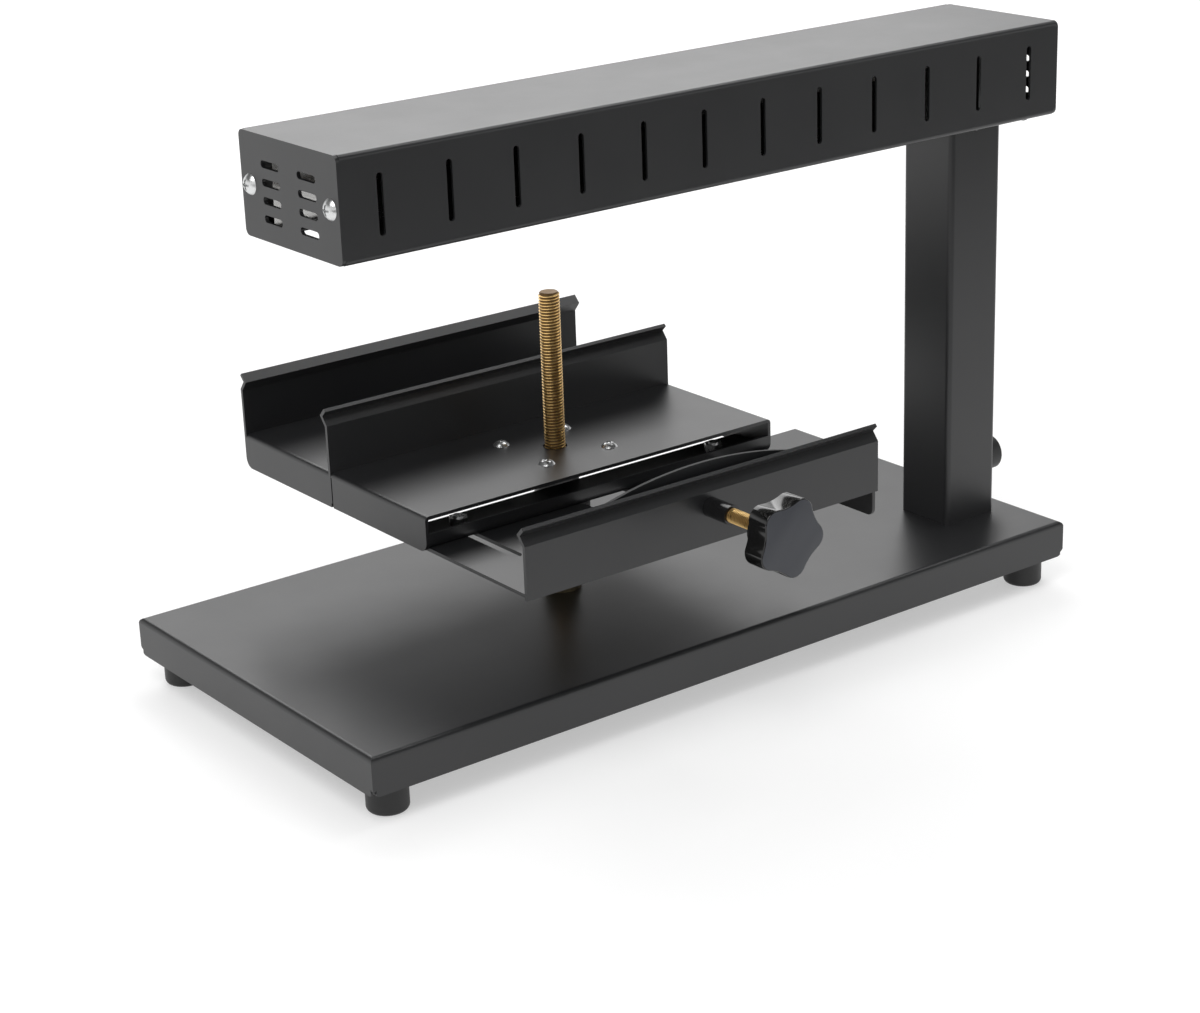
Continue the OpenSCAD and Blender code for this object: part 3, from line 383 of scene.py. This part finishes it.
def join(pieces, name):
    deselect()
    for piece in pieces:
        piece.select_set(True)
    bpy.context.view_layer.objects.active = pieces[0]
    bpy.ops.object.join()
    return started(name)


def redraw(piece, outline):
    """Gives the piece's mesh one open chain of (radius, height) points in the XZ plane."""
    piece.data.clear_geometry()
    piece.data.from_pydata([(r, 0, z) for r, z in outline],
                           [(i, i + 1) for i in range(len(outline) - 1)], [])


def set_in(piece, matrix):
    """Moves the mesh and leaves the object at the origin."""
    piece.data.transform(matrix)
    piece.data.update()


def carry(piece, finish, body, node):
    """Gives a new piece its finish, body and slot, and hides the node that it stands for."""
    piece.data.materials.clear()
    piece.data.materials.append(finish)
    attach(piece, body)
    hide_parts(node)


# ---- Threads ---------------------------------------------------------------

THREAD_DEPTH = 0.40    # height of the profile, in pitches
THREAD_CREST = 0.28    # width of crest and root, in pitches
TURNS_BELOW = 2        # wound below the bar's foot and cut off again
SPARE_TURNS = 3        # wound beyond the bar's length and cut off again
TIGHT = 1e-7           # reach that merges only true doubles


def screw_thread(name, radius, pitch, length, chamfer, sides):
    """Threaded bar along +Z from the origin: one pitch of the profile, wound up the bar."""
    root = radius - THREAD_DEPTH * pitch
    crest = THREAD_CREST * pitch
    flank = (pitch - 2 * crest) / 2
    deselect()
    bpy.ops.mesh.primitive_plane_add(size=1)
    bar = started(name)
    profile = [(root, 0), (radius, flank), (radius, flank + crest), (root, pitch - crest),
               (root, pitch)]
    redraw(bar, [(r, z - TURNS_BELOW * pitch) for r, z in profile])
    winding = bar.modifiers.new("winding", "SCREW")
    winding.angle = 2 * math.pi
    winding.screw_offset = pitch
    winding.iterations = int(math.ceil(length / pitch)) + SPARE_TURNS
    winding.steps = winding.render_steps = sides
    winding.use_merge_vertices = False
    apply_all(bar)
    clean(bar, pitch * 0.01)
    bpy.ops.object.mode_set(mode="EDIT")
    for height, is_foot in ((0.0, True), (length, False)):
        bpy.ops.mesh.select_all(action="SELECT")
        bpy.ops.mesh.bisect(plane_co=(0, 0, height), plane_no=(0, 0, 1), use_fill=True,
                            clear_inner=is_foot, clear_outer=not is_foot)
    bpy.ops.object.mode_set(mode="OBJECT")
    for vertex in bar.data.vertices:
        end = min(vertex.co.z, length - vertex.co.z)
        limit = radius - chamfer + end
        away = math.hypot(vertex.co.x, vertex.co.y)
        if end < chamfer and away > limit:
            vertex.co.x *= limit / away
            vertex.co.y *= limit / away
    clean(bar, TIGHT)
    return bar


def lathe(name, outline, sides):
    """Solid of revolution round Z from (radius, height) points, from pole to pole."""
    deselect()
    bpy.ops.mesh.primitive_circle_add(vertices=4, radius=0.01)
    turned = started(name)
    redraw(turned, outline)
    turning = turned.modifiers.new("turning", "SCREW")
    turning.angle = 2 * math.pi
    turning.steps = turning.render_steps = sides
    turning.use_merge_vertices = True
    turning.merge_threshold = 1e-6
    apply_all(turned)
    clean(turned, 1e-6)
    return turned


# Threaded rod of the trays, M12
ROD_PITCH = 0.00175
ROD_CHAMFER = 0.0011
ROD_SIDES = 44
rod_low, rod_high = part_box("threaded_rod")
rod_x, rod_y = (rod_low.x + rod_high.x) / 2, (rod_low.y + rod_high.y) / 2
ROD_R = (rod_high.x - rod_low.x) / 2
ROD_ROOT = ROD_R - 0.0007
rod = screw_thread("rod_thread", ROD_R, ROD_PITCH, rod_high.z - rod_low.z, ROD_CHAMFER,
                   ROD_SIDES)
set_in(rod, Matrix.Translation((rod_x, rod_y, rod_low.z)))
smooth(rod, 28)
carry(rod, yellow_plate("yellow_plated_rod", (rod_x, rod_y, 0), ROD_R, ROD_ROOT, 2),
      "stand", "threaded_rod")

# Clamp spindle, M8, with the two collars that hold the pressure plate between them
SPINDLE_R = 0.004
SPINDLE_ROOT = SPINDLE_R - 0.0005
SPINDLE_PITCH = 0.00125
SPINDLE_CHAMFER = 0.0006
SPINDLE_SIDES = 40
COLLAR_T = 0.002
COLLAR_CHAMFER = 0.0006
COLLAR_EDGE = 0.0002
COLLAR_SIDES = 48
PLATE_PLAY = 0.0004
sp_low, sp_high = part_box("clamp_spindle")
press_low, press_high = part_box("pressure_plate")
axis_x, axis_z = (sp_low.x + sp_high.x) / 2, (sp_low.z + sp_high.z) / 2
COLLAR_R = (sp_high.x - sp_low.x) / 2
Z_TO_NEAR = Matrix.Rotation(math.pi / 2, 4, "X")


def collar(name, chamfer):
    """Collar of the spindle with this chamfer at its foot; its top edge is only broken."""
    return lathe(name, [(0, 0), (COLLAR_R - chamfer, 0), (COLLAR_R, chamfer),
                        (COLLAR_R, COLLAR_T - COLLAR_EDGE), (COLLAR_R - COLLAR_EDGE, COLLAR_T),
                        (0, COLLAR_T)], COLLAR_SIDES)


thread = screw_thread("spindle_bar", SPINDLE_R, SPINDLE_PITCH, sp_high.y - sp_low.y,
                      SPINDLE_CHAMFER, SPINDLE_SIDES)
tip_collar = collar("tip_collar", COLLAR_CHAMFER)
wall_collar = collar("wall_collar", COLLAR_EDGE)
plate_room = (press_high.y - press_low.y) + PLATE_PLAY
set_in(wall_collar, Matrix.Translation((0, 0, COLLAR_T + plate_room)))
spindle = join([thread, tip_collar, wall_collar], "clamp_spindle_thread")
set_in(spindle, Matrix.Translation((axis_x, sp_high.y, axis_z)) @ Z_TO_NEAR)
smooth(spindle, 28)
carry(spindle, yellow_plate("yellow_plated_spindle", (axis_x, 0, axis_z), SPINDLE_R,
                            SPINDLE_ROOT, 1),
      "clamp_screw", "clamp_spindle")


# ---- Star knob -------------------------------------------------------------

LOBES = 5
LOBE_AT = 0.0145       # from the knob's axis to a lobe's centre
LOBE_R = 0.0075
VALLEY_R = 0.026
KNOB_TURN = math.radians(-10)
KNOB_POINTS = 150
KNOB_EDGE = 0.0008
NECK_L, NECK_R = 0.008, 0.013
NECK_TOP = NECK_L + 0.0004    # runs a little into the lobes
NECK_SIDES = 60
NECK_OUTLINE = [(0, 0), (NECK_R - 0.0022, 0), (NECK_R - 0.0012, 0.0003),
                (NECK_R - 0.0007, 0.001), (NECK_R, 0.0072), (NECK_R + 0.0015, NECK_TOP),
                (0, NECK_TOP)]
kn_low, kn_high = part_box("star_knob")
LOBES_T = (kn_high.y - kn_low.y) - NECK_L


def star_radius(angle):
    """Distance of the star's outline from its axis at an angle measured from a lobe."""
    half = math.pi / LOBES
    a = abs((angle + half) % (2 * half) - half)
    valley_at = (LOBE_AT * math.cos(half)
                 + math.sqrt((LOBE_R + VALLEY_R) ** 2 - (LOBE_AT * math.sin(half)) ** 2))
    share = LOBE_R / (LOBE_R + VALLEY_R)
    meet_x = LOBE_AT + (valley_at * math.cos(half) - LOBE_AT) * share
    meet_y = valley_at * math.sin(half) * share
    if a < math.atan2(meet_y, meet_x):
        return LOBE_AT * math.cos(a) + math.sqrt(LOBE_R ** 2 - (LOBE_AT * math.sin(a)) ** 2)
    b = half - a
    return valley_at * math.cos(b) - math.sqrt(VALLEY_R ** 2 - (valley_at * math.sin(b)) ** 2)


deselect()
bpy.ops.mesh.primitive_circle_add(vertices=KNOB_POINTS, radius=0.02, fill_type="NGON")
knob = started("moulded_star_knob")
for vertex in knob.data.vertices:
    turn = math.atan2(vertex.co.y, vertex.co.x)
    r = star_radius(turn - KNOB_TURN)
    vertex.co = (r * math.cos(turn), r * math.sin(turn), NECK_L)
bpy.ops.object.mode_set(mode="EDIT")
bpy.ops.mesh.select_all(action="SELECT")
bpy.ops.mesh.extrude_region_move(TRANSFORM_OT_translate={"value": (0, 0, LOBES_T)})
bpy.ops.object.mode_set(mode="OBJECT")
clean(knob, TIGHT)
round_off = knob.modifiers.new("round_off", "BEVEL")
round_off.width = KNOB_EDGE
round_off.segments = 4
round_off.limit_method = "ANGLE"
round_off.angle_limit = math.radians(50)
apply_all(knob)
neck = lathe("knob_neck", NECK_OUTLINE, NECK_SIDES)
knob = join([knob, neck], "moulded_star_knob")
set_in(knob, Matrix.Translation((axis_x, kn_high.y, axis_z)) @ Z_TO_NEAR)
smooth(knob, 32)
carry(knob, knob_black(), "clamp_screw", "star_knob")


# ---- Finishes of the carried-over parts ------------------------------------

coat = powder_coat("satin_black_powder_coat", 0.355, 1.6)
bright = zinc("bright_zinc", (0.99, 1.0, 1.0))
worn = zinc("worn_zinc", (0.97, 0.98, 1.0))
plastic = moulded_black("moulded_black", 0.014, 0.42, 20e-6)
FINISHES = {
    coat: ["base_pan", "column", "head_plate", "heater_housing", "heater_cap_front",
           "heater_cap_rear", "near_tray", "far_tray", "sliding_wall", "hub"],
    bright: ["cap_screws", "hub_screws", "guide_screws", "guide_nuts", "tray_bolts",
             "tray_nuts", "foot_screws", "foot_nuts", "column_bolts"],
    worn: ["backing_plate", "element_brackets", "height_ring"],
    plastic: ["switch_body", "gland_body", "gland_lock_nut", "gland_cap", "hand_nut"],
    # rod washers and nuts: yellow plate coloured dark as painted shade
    shade_darkened_yellow_hardware(): ["rod_washers", "rod_nuts"],
    # heater mount screws: zinc coloured dark as painted shade, which also keeps them from glinting
    zinc("shade_darkened_zinc", (0.16, 0.16, 0.17)): ["heater_mount_screws"],
    rolled_aluminium(): ["reflector"],
    heated_sheath(): ["heating_element"],
    ceramic(): ["terminal_block"],
    rubber(): ["rubber_feet"],
    rocker_red(): ["switch_rocker"],
    moulded_black("glossy_black_sleeve", 0.008, 0.13, 4e-6): ["clamp_sleeve"],
    powder_coat("dull_black_powder_coat", 0.50, 1.33): ["pressure_plate"],
}
for finish, names in FINISHES.items():
    for name in names:
        materials = NODES[name].data.materials
        materials.clear()
        materials.append(finish)

# The coat rounds the cut edges of the sheets; widths in millimetres
COATED_EDGES = {"heater_housing": 0.25, "heater_cap_front": 0.35, "heater_cap_rear": 0.35,
                "near_tray": 0.35, "far_tray": 0.35, "sliding_wall": 0.35,
                "pressure_plate": 0.4}
for name, width_mm in COATED_EDGES.items():
    rounding = NODES[name].modifiers.new("coated_edges", "BEVEL")
    rounding.width = width_mm / 1000
    rounding.segments = 2
    rounding.limit_method = "ANGLE"
    rounding.angle_limit = math.radians(55)
    rounding.use_clamp_overlap = False
    rounding.harden_normals = True


# ---- Studio ----------------------------------------------------------------

def camera_like_the_photo():
    """Camera from the measured view: place, heading, pitch, roll and focal length in pixels."""
    place_mm = (-855.9, -1102.6, 601.9)
    heading, pitch, roll = (math.radians(a) for a in (53.32, 20.26, -2.06))
    focal_px, width_px = 2584.4, 1200
    ahead = Vector((math.cos(heading) * math.cos(pitch), math.sin(heading) * math.cos(pitch),
                    -math.sin(pitch)))
    right = Vector((math.sin(heading), -math.cos(heading), 0))
    up = right.cross(ahead)
    side = right * math.cos(roll) + up * math.sin(roll)
    top = up * math.cos(roll) - right * math.sin(roll)
    data = bpy.data.cameras.new("camera")
    data.sensor_width = 36
    data.lens = focal_px / width_px * data.sensor_width
    data.clip_start, data.clip_end = 0.05, 60
    camera = bpy.data.objects.new("camera", data)
    bpy.context.scene.collection.objects.link(camera)
    matrix = Matrix((side, top, -ahead)).transposed().to_4x4()
    matrix.translation = Vector(place_mm) / 1000
    camera.matrix_world = matrix
    bpy.context.scene.camera = camera


def softbox(name, place, aim, size, watts):
    data = bpy.data.lights.new(name, "AREA")
    data.shape = "RECTANGLE"
    data.size, data.size_y = size
    data.energy = watts
    lamp = bpy.data.objects.new(name, data)
    bpy.context.scene.collection.objects.link(lamp)
    lamp.location = place
    lamp.rotation_mode = "QUATERNION"
    lamp.rotation_quaternion = (Vector(aim) - Vector(place)).to_track_quat("-Z", "Y")


def studio_world():
    """Surroundings: white at the horizon to the camera and in reflections, dim above it,
    and a soft even light."""
    white_up_to, dim_from, dim = 0.28, 0.45, 0.10
    as_light = 0.55
    world = bpy.data.worlds.new("studio")
    bpy.context.scene.world = world
    world.use_nodes = True
    sky = Nodes(world.node_tree)
    ray = sky.add("ShaderNodeLightPath")
    seen = sky.larger(sky.larger(ray["Is Camera Ray"], ray["Is Glossy Ray"]),
                      ray["Is Transmission Ray"])
    height = sky.part(sky.add("ShaderNodeTexCoord")["Generated"], "Z")
    shown = sky.span(height, white_up_to, dim_from, 1.0, dim)
    surroundings = sky.tree.nodes["Background"]
    surroundings.inputs["Color"].default_value = rgb(1, 1, 1)
    sky.plug(surroundings.inputs["Strength"], sky.span(seen, 0.0, 1.0, as_light, shown))


def floor():
    """Pale floor that keeps the object's shadow. Reflections see it end in front of the object."""
    glow_near, glow_far = 0.46, 0.80
    far_starts, far_full = 1.0, 3.5
    ends_from, ends_at = -0.58, -0.86
    deselect()
    bpy.ops.mesh.primitive_plane_add(size=14)
    ground = started("floor")
    f = Finish("pale_floor")
    f.set(Base_Color=f.blend(f.noise(3, 2), grey(0.54), grey(0.56)),
          Roughness=0.6,
          Specular_IOR_Level=0.2)
    ray = f.add("ShaderNodeLightPath")
    glow = f.span(f.length(f.place), far_starts, far_full, glow_near, glow_far)
    seen = f.larger(ray["Is Camera Ray"], ray["Is Glossy Ray"])
    lamp = f.add("ShaderNodeEmission", {}, {"Strength": seen * glow})["Emission"]
    lit = f.add("ShaderNodeAddShader", {}, {0: Wire(f, f.shader.outputs[0]), 1: lamp})["Shader"]
    dark = f.add("ShaderNodeBsdfDiffuse", {}, {"Color": grey(0.05)})["BSDF"]
    ended = ray["Is Glossy Ray"] * f.span(f.part(f.place, "Y"), ends_from, ends_at)
    shown = f.add("ShaderNodeMixShader", {}, {0: ended, 1: lit, 2: dark})["Shader"]
    f.plug(f.tree.nodes["Material Output"].inputs["Surface"], shown)
    ground.data.materials.append(f.material)


# Name, place, aim, size, watts
SOFTBOXES = [("key", (-1.2, -0.6, 1.9), (0, 0, 0.15), (1.4, 1.4), 22),
             ("back", (0.9, 1.8, 1.6), (0, 0, 0.2), (2.2, 1.2), 25),
             ("overhead", (1.1, -0.15, 2.0), (0, 0, 0.2), (0.9, 0.9), 9)]

camera_like_the_photo()
studio_world()
floor()
for box in SOFTBOXES:
    softbox(*box)
bpy.context.scene.view_settings.view_transform = "Standard"
